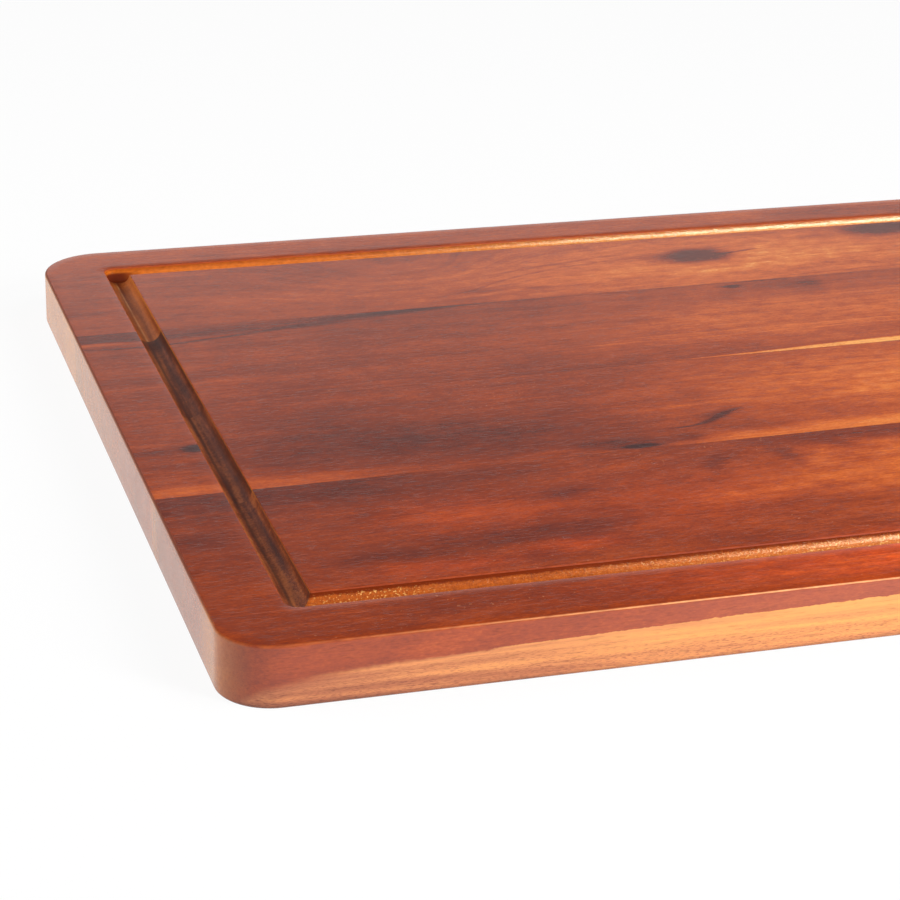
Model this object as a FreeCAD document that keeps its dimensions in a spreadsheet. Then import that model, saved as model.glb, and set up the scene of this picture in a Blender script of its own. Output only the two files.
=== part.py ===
"""Wooden steak board: four staves edge-glued into one panel, with a juice groove round its top.

Millimetres, +Z up. The origin is at the middle of the underside, +X runs along the board's
length and +Y to its back. The panel is shaped first, as it is in the workshop: the outline, the
eased edges and the half-round groove. Each stave is then the strip of that panel between two
glue joints. The joints are parallel and run a little askew to the outline.
"""
import FreeCAD, Part
import math
import os
import Sketcher
from FreeCAD import Placement, Rotation, Vector

# Driving dimensions in millimetres, and the skew in degrees
SIZES = {
    "board_length": 530,
    "board_width": 325,
    "board_thickness": 18,
    "front_corner_radius": 15,
    "back_corner_radius": 22,
    "edge_easing": 0.8,
    "groove_radius": 4,
    "groove_inset": 25,
    "back_groove_inset": 23.5,
    "lip_easing": 0.4,
    "front_stave_width": 98.4,
    "front_middle_stave_width": 68.7,
    "back_middle_stave_width": 70.5,
    "stave_skew": 1.31,
}

# How far each leg of the groove runs from the middle of the board
LEG_X = "(Sizes.board_length / 2 - Sizes.groove_inset)"
FRONT_LEG_Y = "(-Sizes.board_width / 2 + Sizes.groove_inset)"
BACK_LEG_Y = "(Sizes.board_width / 2 - Sizes.back_groove_inset)"

TOLERANCE = 1e-4
Z_AXIS = Vector(0, 0, 1)
SKETCH_ORIGIN = (-1, 1)
START, END, CENTRE = 1, 2, 3


def make_sheet(doc):
    """Put the driving dimensions in a sheet, one row each with its alias."""
    sheet = doc.addObject("Spreadsheet::Sheet", "Sizes")
    for row, (alias, value) in enumerate(SIZES.items(), start=1):
        sheet.set(f"A{row}", alias)
        sheet.set(f"B{row}", str(value))
        sheet.setAlias(f"B{row}", alias)
    doc.recompute()
    return sheet


def sketch_on(body, role, name):
    """Add a sketch to a body, flat on its origin plane with this role."""
    plane = next(item for item in body.Origin.OriginFeatures if item.Role == role)
    sketch = body.newObject("Sketcher::SketchObject", name)
    sketch.AttachmentSupport = [(plane, "")]
    sketch.MapMode = "FlatFace"
    return sketch


def drive(sketch, name, kind, places, start, expression):
    """Add a named dimension to a sketch, with its starting value, and bind it."""
    number = sketch.addConstraint(Sketcher.Constraint(kind, *places, start))
    sketch.renameConstraint(number, name)
    sketch.setExpression(f"Constraints.{name}", expression)


def draw_outline(body, sheet):
    """Sketch the outline: four sides and four corner arcs that run into them."""
    sketch = sketch_on(body, "XY_Plane", "outline")
    half_length = sheet.board_length / 2
    half_width = sheet.board_width / 2
    front = sheet.front_corner_radius
    back = sheet.back_corner_radius
    corners = [(-1, -1, front), (1, -1, front), (1, 1, back), (-1, 1, back)]
    sides = []
    arcs = []
    for index, (x_side, y_side, radius) in enumerate(corners):
        next_x, next_y, next_radius = corners[(index + 1) % 4]
        along = Vector(next_x - x_side, next_y - y_side, 0).normalize()
        begin = Vector(x_side * half_length, y_side * half_width, 0) + along * radius
        finish = Vector(next_x * half_length, next_y * half_width, 0) - along * next_radius
        sides.append(sketch.addGeometry(Part.LineSegment(begin, finish)))
        centre = Vector(x_side * (half_length - radius), y_side * (half_width - radius), 0)
        turn = math.radians(180 + 90 * index)
        corner = Part.ArcOfCircle(Part.Circle(centre, Z_AXIS, radius), turn, turn + math.pi / 2)
        arcs.append(sketch.addGeometry(corner))
    for index, arc in enumerate(arcs):
        sketch.addConstraint(Sketcher.Constraint("Tangent", sides[index - 1], END, arc, START))
        sketch.addConstraint(Sketcher.Constraint("Tangent", arc, END, sides[index], START))
        kind = "Vertical" if index % 2 else "Horizontal"
        sketch.addConstraint(Sketcher.Constraint(kind, sides[index]))
    front_side, right_side, back_side, left_side = sides
    half_x = "Sizes.board_length / 2"
    half_y = "Sizes.board_width / 2"
    to_front = (front_side, START, *SKETCH_ORIGIN)
    to_right = (*SKETCH_ORIGIN, right_side, START)
    to_back = (*SKETCH_ORIGIN, back_side, START)
    to_left = (left_side, START, *SKETCH_ORIGIN)
    drive(sketch, "front_reach", "DistanceY", to_front, half_width, half_y)
    drive(sketch, "right_reach", "DistanceX", to_right, half_length, half_x)
    drive(sketch, "back_reach", "DistanceY", to_back, half_width, half_y)
    drive(sketch, "left_reach", "DistanceX", to_left, half_length, half_x)
    for index, (arc, (_, y_side, radius)) in enumerate(zip(arcs, corners)):
        alias = "front_corner_radius" if y_side < 0 else "back_corner_radius"
        drive(sketch, f"corner_{index}", "Radius", (arc,), radius, f"Sizes.{alias}")
    return sketch


def draw_legs(body, role, name, sheet, places):
    """Sketch the round sections of two groove legs, both centred on the board's top."""
    sketch = sketch_on(body, role, name)
    top = sheet.board_thickness
    radius = sheet.groove_radius
    for index, (start, expression) in enumerate(places):
        circle = sketch.addGeometry(Part.Circle(Vector(start, top, 0), Z_AXIS, radius))
        to_centre = (*SKETCH_ORIGIN, circle, CENTRE)
        drive(sketch, f"place_{index}", "DistanceX", to_centre, start, expression)
        drive(sketch, f"top_{index}", "DistanceY", to_centre, top, "Sizes.board_thickness")
        drive(sketch, f"radius_{index}", "Radius", (circle,), radius, "Sizes.groove_radius")
    return sketch


def mill_legs(body, sketch, name, shift, length):
    """Cut two groove legs, from one corner of the groove to the next."""
    pocket = body.newObject("PartDesign::Pocket", name)
    pocket.Profile = sketch
    pocket.SideType = "Symmetric"
    pocket.setExpression("Length", length)
    sketch.setExpression("AttachmentOffset.Base.z", shift)
    return pocket


def round_corner(body, name, x_place, y_place):
    """Cut the ball that the cutter leaves at one corner of the groove."""
    ball = body.newObject("PartDesign::SubtractiveSphere", name)
    ball.setExpression("Radius", "Sizes.groove_radius")
    ball.setExpression("Placement.Base.x", x_place)
    ball.setExpression("Placement.Base.y", y_place)
    ball.setExpression("Placement.Base.z", "Sizes.board_thickness")
    return ball


def lies_at(item, height):
    """Whether a face or an edge is flat at this height."""
    box = item.BoundBox
    return abs(box.ZMin - height) < TOLERANCE and abs(box.ZMax - height) < TOLERANCE


def ease(body, name, base, picked, radius):
    """Round the picked faces' edges, or the picked edges, of a body's last feature."""
    fillet = body.newObject("PartDesign::Fillet", name)
    fillet.Base = (base, picked)
    fillet.setExpression("Radius", radius)
    return fillet


def make_panel(doc, sheet):
    """Shape the whole panel: slab, eased outline, groove and eased groove lips."""
    body = doc.addObject("PartDesign::Body", "panel")
    pad = body.newObject("PartDesign::Pad", "slab")
    pad.Profile = draw_outline(body, sheet)
    pad.setExpression("Length", "Sizes.board_thickness")
    doc.recompute()

    top = sheet.board_thickness
    flat = [f"Face{number}" for number, face in enumerate(pad.Shape.Faces, start=1)
            if lies_at(face, top) or lies_at(face, 0)]
    outline = ease(body, "eased_outline", pad, flat, "Sizes.edge_easing")
    doc.recompute()

    leg_x = sheet.board_length / 2 - sheet.groove_inset
    front_y = -sheet.board_width / 2 + sheet.groove_inset
    back_y = sheet.board_width / 2 - sheet.back_groove_inset
    long_sketch = draw_legs(body, "YZ_Plane", "long_leg_sections", sheet,
                            [(front_y, FRONT_LEG_Y), (back_y, BACK_LEG_Y)])
    mill_legs(body, long_sketch, "long_legs", "0", f"2 * {LEG_X}")
    end_sketch = draw_legs(body, "XZ_Plane", "end_leg_sections", sheet,
                           [(-leg_x, f"-{LEG_X}"), (leg_x, LEG_X)])
    mill_legs(body, end_sketch, "end_legs", f"-({FRONT_LEG_Y} + {BACK_LEG_Y}) / 2",
              f"{BACK_LEG_Y} - {FRONT_LEG_Y}")
    for x_name, x_place in (("left", f"-{LEG_X}"), ("right", LEG_X)):
        for y_name, y_place in (("front", FRONT_LEG_Y), ("back", BACK_LEG_Y)):
            last = round_corner(body, f"{y_name}_{x_name}_ball", x_place, y_place)
    doc.recompute()
    cut_away = outline.Shape.Volume - last.Shape.Volume
    around = 2 * (2 * leg_x + back_y - front_y)
    expected = around * math.pi * sheet.groove_radius ** 2 / 2
    if abs(cut_away / expected - 1) > 0.02:
        raise RuntimeError(f"groove cut {cut_away:.0f} cubic mm, not {expected:.0f}")

    reach = leg_x + sheet.groove_radius + TOLERANCE
    lips = [f"Edge{number}" for number, edge in enumerate(last.Shape.Edges, start=1)
            if lies_at(edge, top) and max(abs(edge.BoundBox.XMin), edge.BoundBox.XMax) < reach]
    ease(body, "eased_lips", last, lips, "Sizes.lip_easing")
    doc.recompute()
    return body


def make_strip(doc, name, joint, width):
    """Make the strip of wood behind a joint, longer and thicker than the panel."""
    strip = doc.addObject("Part::Box", name)
    strip.Placement = Placement(Vector(), Rotation(Z_AXIS, 1))
    skew = "(Sizes.stave_skew * 1 deg)"
    strip.setExpression("Placement.Rotation.Angle", "Sizes.stave_skew")
    strip.setExpression("Placement.Base.x", "-Sizes.board_length / 2"
                        f" - Sizes.board_width * cos{skew} - {joint} * sin{skew}")
    strip.setExpression("Placement.Base.y", "-Sizes.board_width / 2 + Sizes.front_stave_width"
                        f" - Sizes.board_width * sin{skew} + {joint} * cos{skew}")
    strip.setExpression("Placement.Base.z", "-Sizes.board_thickness")
    strip.setExpression("Length", "Sizes.board_length + 2 * Sizes.board_width")
    strip.setExpression("Width", width)
    strip.setExpression("Height", "3 * Sizes.board_thickness")
    return strip


def make_stave(doc, name, panel, joint, width):
    """Make one stave: the part of the panel that lies in its strip."""
    stave = doc.addObject("Part::Common", name)
    stave.Base = panel
    stave.Tool = make_strip(doc, f"{name}_strip", joint, width)
    stave.Label = name
    return stave


def make_staves(doc, panel):
    """Make the four staves, front to back. Joints are measured across from the front one."""
    past_edge = "Sizes.board_width"
    second = "Sizes.front_middle_stave_width"
    third = "Sizes.back_middle_stave_width"
    strips = {
        "front_stave": (f"(-{past_edge})", past_edge),
        "front_middle_stave": ("0", second),
        "back_middle_stave": (second, third),
        "back_stave": (f"({second} + {third})", past_edge),
    }
    staves = [make_stave(doc, name, panel, *place) for name, place in strips.items()]
    doc.recompute()
    return staves


def check(doc, staves):
    """Stop if an object failed, or if a stave isn't one valid solid."""
    for item in doc.Objects:
        if "Invalid" in item.State or "Error" in item.State:
            raise RuntimeError(f"{item.Label} failed: {item.State}")
    for stave in staves:
        shape = stave.Shape
        if shape.isNull() or not shape.isValid() or len(shape.Solids) != 1:
            raise RuntimeError(f"{stave.Label} isn't one valid solid")


def main():
    doc = FreeCAD.newDocument("SteakBoard")
    sheet = make_sheet(doc)
    staves = make_staves(doc, make_panel(doc, sheet))
    check(doc, staves)
    os.makedirs("parts", exist_ok=True)
    for stave in staves:
        stave.Shape.exportStep(f"parts/{stave.Label}.step")
        print(stave.Label, f"{stave.Shape.Volume:.0f} cubic mm")


main()
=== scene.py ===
"""Looks of the wooden steak board: four glued hardwood staves under a satin lacquer.

Metres, in the frame's own axes. The panel's surface is built once, as loops that run round the
board from the inner field over the groove and the rim to the underside. It is then cut along
the glue joints, so that each stave is a piece of its own. Wood is drawn in millimetres along
and across the grain: along starts at the board's left end, across at its front left corner.
"""
import math
from collections import namedtuple

import bmesh
import bpy
import numpy as np
from mathutils import Matrix, Vector


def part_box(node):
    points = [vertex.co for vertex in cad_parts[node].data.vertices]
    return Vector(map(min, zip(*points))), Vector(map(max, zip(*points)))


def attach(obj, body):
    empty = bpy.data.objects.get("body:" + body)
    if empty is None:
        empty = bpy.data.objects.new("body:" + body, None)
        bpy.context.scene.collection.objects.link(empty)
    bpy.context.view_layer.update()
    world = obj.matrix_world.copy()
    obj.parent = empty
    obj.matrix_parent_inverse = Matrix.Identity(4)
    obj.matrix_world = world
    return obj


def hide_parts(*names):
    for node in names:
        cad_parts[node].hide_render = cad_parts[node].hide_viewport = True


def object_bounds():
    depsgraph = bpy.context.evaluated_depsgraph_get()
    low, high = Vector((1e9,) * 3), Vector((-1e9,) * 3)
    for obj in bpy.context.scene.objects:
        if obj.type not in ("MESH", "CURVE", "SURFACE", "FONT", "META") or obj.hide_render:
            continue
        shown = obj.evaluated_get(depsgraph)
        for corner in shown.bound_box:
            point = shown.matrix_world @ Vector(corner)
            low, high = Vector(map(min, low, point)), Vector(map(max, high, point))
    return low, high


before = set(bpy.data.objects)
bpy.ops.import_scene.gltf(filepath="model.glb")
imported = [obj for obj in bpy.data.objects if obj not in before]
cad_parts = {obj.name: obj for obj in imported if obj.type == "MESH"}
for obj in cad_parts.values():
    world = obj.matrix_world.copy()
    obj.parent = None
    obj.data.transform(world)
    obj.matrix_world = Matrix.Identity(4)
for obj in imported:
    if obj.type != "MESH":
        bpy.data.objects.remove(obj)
CAD_LOW, CAD_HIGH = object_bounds()

MM = 0.001
CENTRE = (0, 0, 0)
WHITE = (1, 1, 1, 1)

# Panel sizes that the frame's boxes don't give, in metres
FRONT_CORNER = 15 * MM
BACK_CORNER = 22 * MM
EDGE_EASING = 0.8 * MM
GROOVE_RADIUS = 4 * MM
GROOVE_INSET = 25 * MM
BACK_GROOVE_INSET = 23.5 * MM
LIP_EASING = 0.4 * MM

# How finely the surface is divided
LOOP_STEP = 0.9 * MM
LONG_STEPS = round((CAD_HIGH.x - CAD_LOW.x) / LOOP_STEP)
SHORT_STEPS = round((CAD_HIGH.y - CAD_LOW.y) / LOOP_STEP)
CORNER_STEPS = 14
GROOVE_STEPS = 26
EASING_STEPS = 5
MARGIN_STEPS = 6
SIDE_STEPS = 6
EASING_ANGLES = np.linspace(0, math.pi / 2, EASING_STEPS + 1)
WELD_DISTANCE = MM / 1000
CUT_DISTANCE = MM / 10000

# Camera, matched to the photograph
CAMERA_PLACE = (-0.3851, -0.7323, 0.3144)
CAMERA_AZIMUTH = -17.33
CAMERA_ELEVATION = 22.46
CAMERA_ROLL = 1.56
CAMERA_LENS = 103.15
SENSOR_WIDTH = 36
NEAREST_SEEN = 0.01

# Floor and world: the world's levels go by height, with a lean towards one side
FLOOR_REACH = 6
FLOOR_COLOUR = (0.85, 0.85, 0.85, 1)
FLOOR_WHITENESS = 0.92
WORLD_LEAN = (0.12, -0.25, 1)
WORLD_LIFT = 0.218
WORLD_LEVELS = ((0.0, 1.0), (0.27, 0.85), (0.35, 0.46), (0.39, 0.18), (0.45, 0.02), (1.0, 0.10))

# Area lamps: only one that gleams is mirrored by the lacquer
Lamp = namedtuple("Lamp", "name place aim width height power gleams")
GROOVE_LAMP = (0.72, -1.1, 0.64)
LAMPS = (
    Lamp("front_light", (1.1, -1.3, 0.9), CENTRE, 0.9, 0.8, 8, False),
    Lamp("top_light", (0.66, -0.45, 1.2), (0.05, 0, 0), 0.5, 0.5, 8, False),
    Lamp("groove_light", GROOVE_LAMP, CENTRE, 0.3, 0.6, 4, True),
    Lamp("groove_fill", GROOVE_LAMP, CENTRE, 0.3, 0.6, 18, False),
    Lamp("left_light", (-1.5, 0.2, 0.9), CENTRE, 1.0, 1.0, 18, False),
)

THICKNESS = CAD_HIGH.z - CAD_LOW.z
TOP = CAD_HIGH.z
FACE, LONG_GROOVE, END_GROOVE = range(3)
PART_WORDS = {FACE: "face", LONG_GROOVE: "long_groove", END_GROOVE: "end_groove"}

STAVES = ("front_stave", "front_middle_stave", "back_middle_stave", "back_stave")
FRONT_STAVE, BACK_STAVE = STAVES[0], STAVES[-1]


def joint_line(front, back):
    """Where the joint between two staves meets the board's left and right ends."""
    left = Vector((CAD_LOW.x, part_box(back)[0].y, 0))
    right = Vector((CAD_HIGH.x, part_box(front)[1].y, 0))
    return left, right


JOINTS = [joint_line(front, back) for front, back in zip(STAVES, STAVES[1:])]
JOINT_RUN = JOINTS[0][1] - JOINTS[0][0]
SKEW = math.atan2(JOINT_RUN.y, JOINT_RUN.x)


def loop_round(low, high, radii, height):
    """Points round a rectangle with these corner radii, from the front left corner on."""
    corners = [(low[0], low[1], 1, 1), (high[0], low[1], -1, 1),
               (high[0], high[1], -1, -1), (low[0], high[1], 1, -1)]
    arcs = []
    for index, ((x, y, to_x, to_y), radius) in enumerate(zip(corners, radii)):
        turn = math.pi + index * math.pi / 2 + np.linspace(0, math.pi / 2, CORNER_STEPS + 1)
        centre = np.array([x + to_x * radius, y + to_y * radius])
        arcs.append(centre + radius * np.stack([np.cos(turn), np.sin(turn)], 1))
    points = []
    for index, arc in enumerate(arcs):
        steps = SHORT_STEPS if index % 2 else LONG_STEPS
        share = np.linspace(0, 1, steps + 1)[1:-1, None]
        side = arc[-1] * (1 - share) + arcs[(index + 1) % len(arcs)][0] * share
        points += [arc, side]
    flat = np.concatenate(points)
    return np.column_stack([flat, np.full(len(flat), height)])


def groove_loop(reach, height):
    """A loop that keeps this distance outside the groove's centre line, or inside it."""
    low = (CAD_LOW.x + GROOVE_INSET - reach, CAD_LOW.y + GROOVE_INSET - reach)
    high = (CAD_HIGH.x - GROOVE_INSET + reach, CAD_HIGH.y - BACK_GROOVE_INSET + reach)
    return loop_round(low, high, [max(reach, 0)] * 4, height)


def outline_loop(inset, height):
    """A loop this far inside the board's outline."""
    low = (CAD_LOW.x + inset, CAD_LOW.y + inset)
    high = (CAD_HIGH.x - inset, CAD_HIGH.y - inset)
    radii = [FRONT_CORNER - inset] * 2 + [BACK_CORNER - inset] * 2
    return loop_round(low, high, radii, height)


def groove_loops():
    """The loops of the round groove between its lips."""
    low_angle = math.asin(LIP_EASING / GROOVE_RADIUS)
    span = np.linspace(low_angle - math.pi / 2, math.pi / 2 - low_angle, GROOVE_STEPS + 1)
    return [groove_loop(GROOVE_RADIUS * math.sin(angle), TOP - GROOVE_RADIUS * math.cos(angle))
            for angle in span[1:-1]]


def lip_loop(side, angle):
    """One loop of the groove's inner lip, where side is -1, or of its outer lip, where it is 1."""
    reach = GROOVE_RADIUS + LIP_EASING - LIP_EASING * math.sin(angle)
    return groove_loop(side * reach, TOP - LIP_EASING * (1 - math.cos(angle)))


def panel_loops():
    """All loops of the panel's surface, with the number of the first and last groove loop."""
    loops = [lip_loop(-1, angle) for angle in EASING_ANGLES]
    start = len(loops) - 1
    loops += groove_loops()
    finish = len(loops)
    loops += [lip_loop(1, angle) for angle in EASING_ANGLES[::-1]]
    rim = outline_loop(EDGE_EASING, TOP)
    for share in np.linspace(0, 1, MARGIN_STEPS + 1)[1:-1]:
        loops.append(loops[finish + EASING_STEPS] * (1 - share) + rim * share)
    for angle in EASING_ANGLES:
        loops.append(outline_loop(EDGE_EASING * (1 - math.sin(angle)),
                                  TOP - EDGE_EASING * (1 - math.cos(angle))))
    for height in np.linspace(TOP - EDGE_EASING, CAD_LOW.z + EDGE_EASING, SIDE_STEPS + 1)[1:-1]:
        loops.append(outline_loop(0, height))
    for angle in EASING_ANGLES[::-1]:
        loops.append(outline_loop(EDGE_EASING * (1 - math.sin(angle)),
                                  CAD_LOW.z + EDGE_EASING * (1 - math.cos(angle))))
    return np.array(loops), start, finish


def end_columns(count):
    """Which columns of the loops belong to the short ends and the front corners."""
    columns = np.arange(count)
    front = (columns >= CORNER_STEPS) & (columns < CORNER_STEPS + LONG_STEPS)
    middle = count // 2
    back = (columns >= middle) & (columns < middle + 2 * CORNER_STEPS + LONG_STEPS)
    return ~(front | back)


def eased_rows(rows, finish):
    """For each kind of eased edge, 1 on the loop at its middle and 0 away from the edge."""
    bump = np.sin(np.linspace(0, math.pi, EASING_STEPS + 1))
    rim = finish + EASING_STEPS + MARGIN_STEPS
    marks = {}
    for name, first in (("inner_lip", 0), ("outer_lip", finish), ("rim", rim)):
        marks[name] = np.zeros(rows)
        marks[name][first:first + EASING_STEPS + 1] = bump
    return marks


def build_panel():
    """The whole panel as one closed mesh, with the groove's faces and the edges marked."""
    loops, start, finish = panel_loops()
    rows, count, _ = loops.shape
    at_end = end_columns(count)
    mesh = bmesh.new()
    marks = eased_rows(rows, finish)
    for name in marks:
        mesh.verts.layers.float.new(name)
    points = [mesh.verts.new(point) for point in loops.reshape(-1, 3)]
    for name, levels in marks.items():
        layer = mesh.verts.layers.float[name]
        for number, point in enumerate(points):
            point[layer] = levels[number // count]
    for row in range(rows - 1):
        in_groove = start <= row < finish
        for column in range(count):
            beside = (column + 1) % count
            corners = (row * count + column, row * count + beside,
                       (row + 1) * count + beside, (row + 1) * count + column)
            face = mesh.faces.new([points[number] for number in corners])
            face.smooth = True
            if in_groove:
                face.material_index = END_GROOVE if at_end[column] else LONG_GROOVE
    mesh.faces.new(points[:count])
    mesh.faces.new(points[-count:])
    bmesh.ops.remove_doubles(mesh, verts=mesh.verts[:], dist=WELD_DISTANCE)
    bmesh.ops.recalc_face_normals(mesh, faces=mesh.faces[:])
    return mesh


def cut_at(mesh, joint, keep_back):
    """Keep what lies behind a glue joint, or in front of it, and close the cut."""
    left, right = joint
    normal = Vector((right.y - left.y, left.x - right.x, 0)).normalized()
    if not keep_back:
        normal = -normal
    everything = mesh.verts[:] + mesh.edges[:] + mesh.faces[:]
    cut = bmesh.ops.bisect_plane(mesh, geom=everything, plane_co=left, plane_no=normal,
                                 dist=CUT_DISTANCE, clear_outer=True)
    edges = [item for item in cut["geom_cut"] if isinstance(item, bmesh.types.BMEdge)]
    bmesh.ops.edgeloop_fill(mesh, edges=edges)
    for edge in edges:
        edge.smooth = False


def make_stave(panel, name, front_joint, back_joint):
    """Cut one stave out of a copy of the panel."""
    mesh = panel.copy()
    if front_joint:
        cut_at(mesh, front_joint, True)
    if back_joint:
        cut_at(mesh, back_joint, False)
    bmesh.ops.recalc_face_normals(mesh, faces=mesh.faces[:])
    data = bpy.data.meshes.new(name)
    mesh.to_mesh(data)
    mesh.free()
    stave = bpy.data.objects.new(name, data)
    bpy.context.scene.collection.objects.link(stave)
    return stave


class Shade:
    """A number, vector or colour in a node tree, which plain arithmetic works on."""

    def __init__(self, tree, socket):
        self.tree = tree
        self.socket = socket

    def __add__(self, other):
        return calculate(self.tree, "ADD", self, other)

    def __radd__(self, other):
        return calculate(self.tree, "ADD", other, self)

    def __sub__(self, other):
        return calculate(self.tree, "SUBTRACT", self, other)

    def __rsub__(self, other):
        return calculate(self.tree, "SUBTRACT", other, self)

    def __mul__(self, other):
        return calculate(self.tree, "MULTIPLY", self, other)

    def __truediv__(self, other):
        return calculate(self.tree, "DIVIDE", self, other)


def make_node(tree, kind, inputs, **settings):
    """A new node with these settings, whose inputs are given numbers or linked shades."""
    node = tree.nodes.new(kind)
    for name, value in settings.items():
        setattr(node, name, value)
    for key, value in inputs.items():
        if isinstance(value, Shade):
            tree.links.new(value.socket, node.inputs[key])
        else:
            node.inputs[key].default_value = value
    return node


def calculate(tree, operation, *values):
    """One step of arithmetic on numbers."""
    node = make_node(tree, "ShaderNodeMath", dict(enumerate(values)), operation=operation)
    return Shade(tree, node.outputs[0])


def calculate_vector(tree, operation, *values):
    """One step of arithmetic on vectors."""
    inputs = dict(enumerate(values))
    node = make_node(tree, "ShaderNodeVectorMath", inputs, operation=operation)
    output = "Value" if operation in ("LENGTH", "DOT_PRODUCT") else "Vector"
    return Shade(tree, node.outputs[output])


def magnitude(value):
    """A number without its sign."""
    return calculate(value.tree, "ABSOLUTE", value)


def join(tree, x, y, z):
    """A vector from three numbers."""
    node = make_node(tree, "ShaderNodeCombineXYZ", {"X": x, "Y": y, "Z": z})
    return Shade(tree, node.outputs[0])


def split(vector):
    """The three numbers of a vector."""
    node = make_node(vector.tree, "ShaderNodeSeparateXYZ", {"Vector": vector})
    return [Shade(vector.tree, output) for output in node.outputs]


def rise(value, low, high):
    """A smooth step: 0 up to low, 1 from high on. It falls where low is above high."""
    node = make_node(value.tree, "ShaderNodeMapRange",
                     {"Value": value, "From Min": low, "From Max": high},
                     interpolation_type="SMOOTHSTEP")
    return Shade(value.tree, node.outputs[0])


def between(value, low, high, soft):
    """A smooth band: 1 from low to high, 0 further out than soft on either side."""
    return rise(value, low - soft, low + soft) * rise(value, high + soft, high - soft)


# Sockets of the Mix node where it mixes colours
MIX_SHARE, MIX_FIRST, MIX_SECOND, MIX_RESULT = 0, 6, 7, 2


def mix(first, second, share):
    """A colour between two others, each a shade or red, green and blue."""
    colours = [part if isinstance(part, Shade) else (*part, 1) for part in (first, second)]
    inputs = {MIX_SHARE: share, MIX_FIRST: colours[0], MIX_SECOND: colours[1]}
    node = make_node(share.tree, "ShaderNodeMix", inputs, data_type="RGBA")
    return Shade(share.tree, node.outputs[MIX_RESULT])


def shade_by(colour, factor):
    """A colour made darker or lighter."""
    node = make_node(factor.tree, "ShaderNodeVectorMath", {0: colour, "Scale": factor},
                     operation="SCALE")
    return Shade(factor.tree, node.outputs["Vector"])


def ramp(value, stops):
    """A colour read off a scale of colours."""
    node = make_node(value.tree, "ShaderNodeValToRGB", {"Fac": value})
    marks = node.color_ramp.elements
    while len(marks) < len(stops):
        marks.new(1)
    for mark, (place, colour) in zip(marks, stops):
        mark.position = place
        mark.color = (*colour, 1)
    return Shade(value.tree, node.outputs["Color"])


# How far a curve's line reaches, in millimetres along the grain
CURVE_REACH = 600


def along_path(value, points, reach):
    """The height, up to reach, of a smooth line through these points at this distance."""
    node = make_node(value.tree, "ShaderNodeFloatCurve", {"Value": value / CURVE_REACH})
    curve = node.mapping.curves[0]
    spots = [(x / CURVE_REACH, y / reach) for x, y in points]
    if spots[0][0] > 0:
        spots.insert(0, (0, spots[0][1]))
    spots.append((1, spots[-1][1]))
    for knob, spot in zip(curve.points, (spots[0], spots[-1])):
        knob.location = spot
    for spot in spots[1:-1]:
        curve.points.new(*spot)
    node.mapping.update()
    return Shade(value.tree, node.outputs[0]) * reach


def make_camera():
    """Put the camera where the photograph was taken."""
    lens = bpy.data.cameras.new("camera")
    lens.lens = CAMERA_LENS
    lens.sensor_width = SENSOR_WIDTH
    lens.clip_start = NEAREST_SEEN
    camera = bpy.data.objects.new("camera", lens)
    turn = (Matrix.Rotation(math.radians(CAMERA_AZIMUTH), 4, "Z")
            @ Matrix.Rotation(math.radians(90 - CAMERA_ELEVATION), 4, "X")
            @ Matrix.Rotation(math.radians(CAMERA_ROLL), 4, "Z"))
    camera.matrix_world = Matrix.Translation(CAMERA_PLACE) @ turn
    bpy.context.scene.collection.objects.link(camera)
    bpy.context.scene.camera = camera


def make_lamp(lamp):
    """An area lamp that faces a point."""
    light = bpy.data.lights.new(lamp.name, "AREA")
    light.shape = "RECTANGLE"
    light.size = lamp.width
    light.size_y = lamp.height
    light.energy = lamp.power
    box = bpy.data.objects.new(lamp.name, light)
    box.location = lamp.place
    box.visible_glossy = lamp.gleams
    box.rotation_euler = (Vector(lamp.aim) - Vector(lamp.place)).to_track_quat("-Z", "Y").to_euler()
    bpy.context.scene.collection.objects.link(box)


def blend_shaders(tree, output, first, second, share):
    """Send a blend of two shader nodes to the tree's output."""
    blend = make_node(tree, "ShaderNodeMixShader", {
        0: share, 1: Shade(tree, first.outputs[0]), 2: Shade(tree, second.outputs[0])})
    make_node(tree, output, {"Surface": Shade(tree, blend.outputs[0])})


def floor_material():
    """Plain white to the camera and in reflections, with a soft shadow, and pale otherwise."""
    material = bpy.data.materials.new("floor")
    material.use_nodes = True
    tree = material.node_tree
    tree.nodes.clear()
    path = tree.nodes.new("ShaderNodeLightPath")
    seen = calculate(tree, "MAXIMUM", Shade(tree, path.outputs["Is Camera Ray"]),
                     Shade(tree, path.outputs["Is Glossy Ray"]))
    pale = make_node(tree, "ShaderNodeBsdfDiffuse", {"Color": FLOOR_COLOUR})
    white = make_node(tree, "ShaderNodeEmission", {"Color": WHITE})
    blend_shaders(tree, "ShaderNodeOutputMaterial", pale, white, seen * FLOOR_WHITENESS)
    return material


def make_floor():
    """A wide white floor under the board."""
    data = bpy.data.meshes.new("floor")
    reach = FLOOR_REACH
    corners = [(-reach, -reach, 0), (reach, -reach, 0), (reach, reach, 0), (-reach, reach, 0)]
    data.from_pydata(corners, [], [(0, 1, 2, 3)])
    floor = bpy.data.objects.new("floor", data)
    bpy.context.scene.collection.objects.link(floor)
    floor.location.z = CAD_LOW.z
    data.materials.append(floor_material())


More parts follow.
